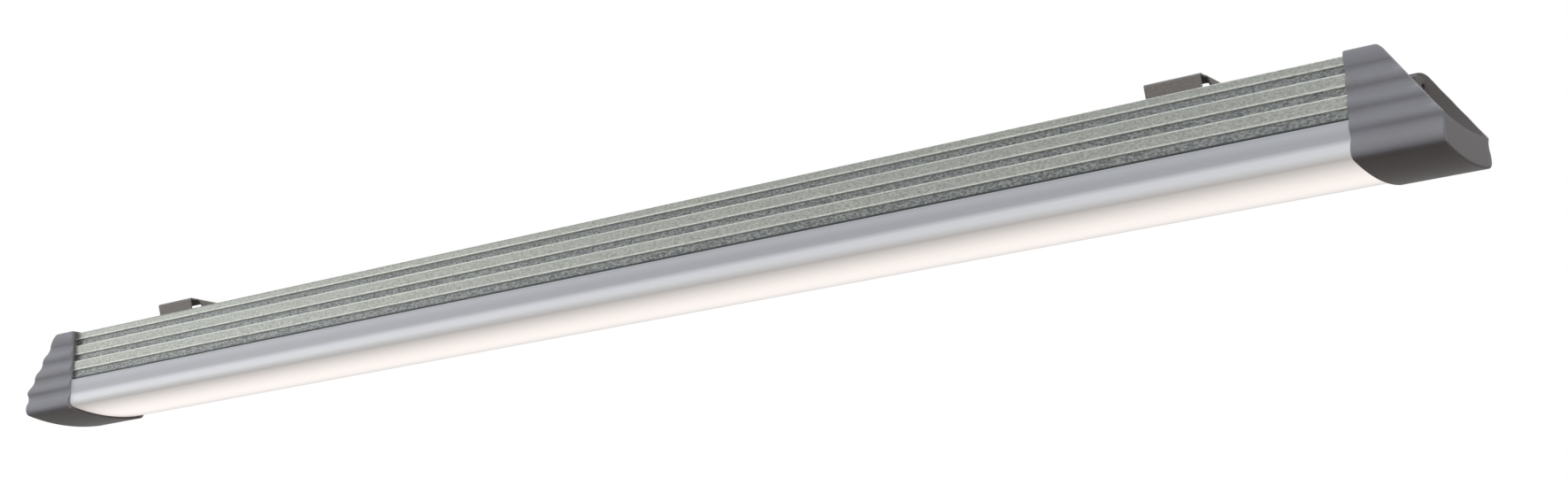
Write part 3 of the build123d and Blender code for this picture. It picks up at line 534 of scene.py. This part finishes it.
bpy.ops.mesh.primitive_cylinder_add(vertices=6, radius=NUT_FLATS / math.sqrt(3), depth=NUT_HEX,
                                    rotation=ALONG_X, location=hexagon_place)
nut = fixed_piece()
pick_faces(nut, lambda normal: abs(normal.x) < 1 - FACING)
bpy.ops.mesh.bevel(offset=NUT_CORNER, segments=2, affect="EDGES")
bpy.ops.object.mode_set(mode="OBJECT")
bpy.ops.mesh.primitive_cone_add(vertices=96, radius1=NUT_FLATS / 2 + CHAMFER_FOOT,
                                radius2=NUT_FLATS / 2 + CHAMFER_TOP, depth=NUT_HEX + OVERLAP,
                                rotation=ALONG_X, location=hexagon_place)
cut_with(nut, fixed_piece(), "INTERSECT")
bpy.ops.mesh.primitive_cone_add(vertices=96, radius1=DOME_FOOT, radius2=NUT_TIP, depth=dome_length + OVERLAP,
                                rotation=ALONG_X, location=(dome_x - OVERLAP / 2, gland_y, gland_z))
dome = fixed_piece()
pick_faces(dome, lambda normal: normal.x > FACING)
bpy.ops.mesh.bevel(offset=TIP_ROUND, segments=5, affect="EDGES")
bpy.ops.object.mode_set(mode="OBJECT")
flutes = []
for count in range(FLUTES):
    bpy.ops.mesh.primitive_cylinder_add(vertices=20, radius=FLUTE_RADIUS, depth=dome_length + FLUTE_SPARE,
                                        rotation=(0, math.pi / 2 + FLUTE_LEAN, 0))
    flute = bpy.context.object
    bpy.ops.object.transform_apply(location=False, rotation=True, scale=False)
    flute.location = (0, 0, (DOME_FOOT + NUT_TIP) / 2 + FLUTE_LIFT)
    bpy.ops.object.transform_apply(location=True, rotation=False, scale=False)
    flute.rotation_euler = ((count + 0.5) * 2 * math.pi / FLUTES, 0, 0)
    flute.location = (dome_x + FLUTE_SHIFT, gland_y, gland_z)
    bpy.ops.object.transform_apply(location=True, rotation=True, scale=False)
    flutes.append(flute)
cut_with(dome, joined(flutes))
cut_with(nut, dome, "UNION")
for radius, start, end in (
        (NECK, low[0] - MM, high[0] - dome_length + NECK_RISE),
        (NUT_MOUTH, low[0], high[0] + MM)):
    bpy.ops.mesh.primitive_cylinder_add(vertices=64, radius=radius, depth=end - start, rotation=ALONG_X,
                                        location=((start + end) / 2, gland_y, gland_z))
    cut_with(nut, fixed_piece())
select_only(nut)
bpy.ops.object.mode_set(mode="EDIT")
bpy.ops.mesh.select_all(action="SELECT")
bpy.ops.mesh.remove_doubles(threshold=NUT_MERGE)
bpy.ops.mesh.dissolve_degenerate(threshold=NUT_DISSOLVE)
bpy.ops.mesh.normals_make_consistent(inside=False)
bpy.ops.object.mode_set(mode="OBJECT")
bpy.ops.object.shade_smooth_by_angle(angle=SMOOTH_ANGLE)
settle(nut, "fluted_dome_nut", "gland_dome_nut", polyamide)


# Floor, white surroundings and lamps
def seen_ray(tree):
    """One for a ray that shows the surroundings to the camera, gloss or glass, and zero for light."""
    path = add_node(tree, "ShaderNodeLightPath")
    ray = path.outputs["Is Camera Ray"]
    for name in ("Is Glossy Ray", "Is Transmission Ray"):
        either = add_node(tree, "ShaderNodeMath", {"operation": "MAXIMUM"},
                          links={0: ray, 1: path.outputs[name]})
        ray = either.outputs["Value"]
    return ray


FLOOR_SIZE = 12.0
FLOOR_HEIGHT = -1.7
bpy.ops.mesh.primitive_plane_add(size=FLOOR_SIZE, location=(0, 0, FLOOR_HEIGHT))
floor = bpy.context.object
floor.name = "floor"
plaster, tree, shader = new_material("floor_plain_plaster", "#4A3526", 0.9)
pale = add_node(tree, "ShaderNodeBsdfDiffuse", inputs={"Color": linear("#C8C6C4")})
lift = add_node(tree, "ShaderNodeEmission", inputs={"Color": linear("#FFFFFF"), "Strength": 0.42})
pale_floor = add_node(tree, "ShaderNodeAddShader",
                      links={0: pale.outputs["BSDF"], 1: lift.outputs["Emission"]})
shown = add_node(tree, "ShaderNodeMixShader",
                 links={0: seen_ray(tree), 1: shader.outputs["BSDF"], 2: pale_floor.outputs["Shader"]})
tree.links.new(shown.outputs["Shader"], tree.nodes["Material Output"].inputs["Surface"])
floor.data.materials.append(plaster)
bpy.ops.object.select_all(action="DESELECT")

world = bpy.data.worlds.new("studio")
world.use_nodes = True
bpy.context.scene.world = world
tree = world.node_tree
tree.nodes.clear()
soft = add_node(tree, "ShaderNodeBackground", inputs={"Color": linear("#FFFFFF"), "Strength": 0.30})
white = add_node(tree, "ShaderNodeBackground", inputs={"Color": linear("#FFFFFF"), "Strength": 1.0})
mixed = add_node(tree, "ShaderNodeMixShader",
                 links={0: seen_ray(tree), 1: soft.outputs["Background"], 2: white.outputs["Background"]})
add_node(tree, "ShaderNodeOutputWorld", links={"Surface": mixed.outputs["Shader"]})


def soft_box(name, place, aim, width, height, power, cone=180.0):
    """An area lamp at a place, turned to a point, with its power in watts and its cone in degrees."""
    lamp = bpy.data.lights.new(name, "AREA")
    lamp.shape = "RECTANGLE"
    lamp.size = width
    lamp.size_y = height
    lamp.energy = power
    lamp.spread = math.radians(cone)
    holder = bpy.data.objects.new(name, lamp)
    bpy.context.collection.objects.link(holder)
    direction = Vector(aim) - Vector(place)
    turn = direction.to_track_quat("-Z", "Y").to_matrix().to_4x4()
    holder.matrix_world = Matrix.Translation(place) @ turn


# The left cap's lamp is narrow and to the right, where the metal's mirror doesn't show it
soft_box("front_soft_box", (1.7, -3.0, 1.4), (0.4, 0, 0), 1.6, 1.6, 72.0)
soft_box("top_soft_box", (0, 0.8, 3.2), (0, 0, 0), 2.4, 2.4, 60.0)
soft_box("left_soft_box", (-3.2, -2.2, 0.6), (-0.3, 0, 0), 2.4, 2.4, 24.0)
soft_box("left_cap_soft_box", (0.9, -2.4, 1.5), (-0.64, 0, -0.05), 0.5, 0.5, 0.55, 25.0)

# Camera at the photograph's viewing angle
CAMERA_PLACE = (1.0678, -1.3343, -0.4402)
CAMERA_TURN = math.radians(34.717)
CAMERA_TILT = math.radians(13.709)
CAMERA_ROLL = math.radians(-2.096)
FOCAL_PIXELS = 2693.0
PHOTO_WIDTH = 1772
SENSOR_WIDTH = 36.0
level_right = Vector((math.cos(CAMERA_TURN), math.sin(CAMERA_TURN), 0))
forward = Vector((
    -math.sin(CAMERA_TURN) * math.cos(CAMERA_TILT),
    math.cos(CAMERA_TURN) * math.cos(CAMERA_TILT),
    math.sin(CAMERA_TILT)))
level_up = level_right.cross(forward)
right = math.cos(CAMERA_ROLL) * level_right + math.sin(CAMERA_ROLL) * level_up
up = -math.sin(CAMERA_ROLL) * level_right + math.cos(CAMERA_ROLL) * level_up
camera_data = bpy.data.cameras.new("camera")
camera_data.sensor_width = SENSOR_WIDTH
camera_data.lens = FOCAL_PIXELS / PHOTO_WIDTH * SENSOR_WIDTH
camera = bpy.data.objects.new("camera", camera_data)
bpy.context.collection.objects.link(camera)
axes = Matrix((right, up, -forward)).transposed().to_4x4()
camera.matrix_world = Matrix.Translation(CAMERA_PLACE) @ axes
bpy.context.scene.camera = camera
bpy.context.scene.view_settings.view_transform = "Standard"
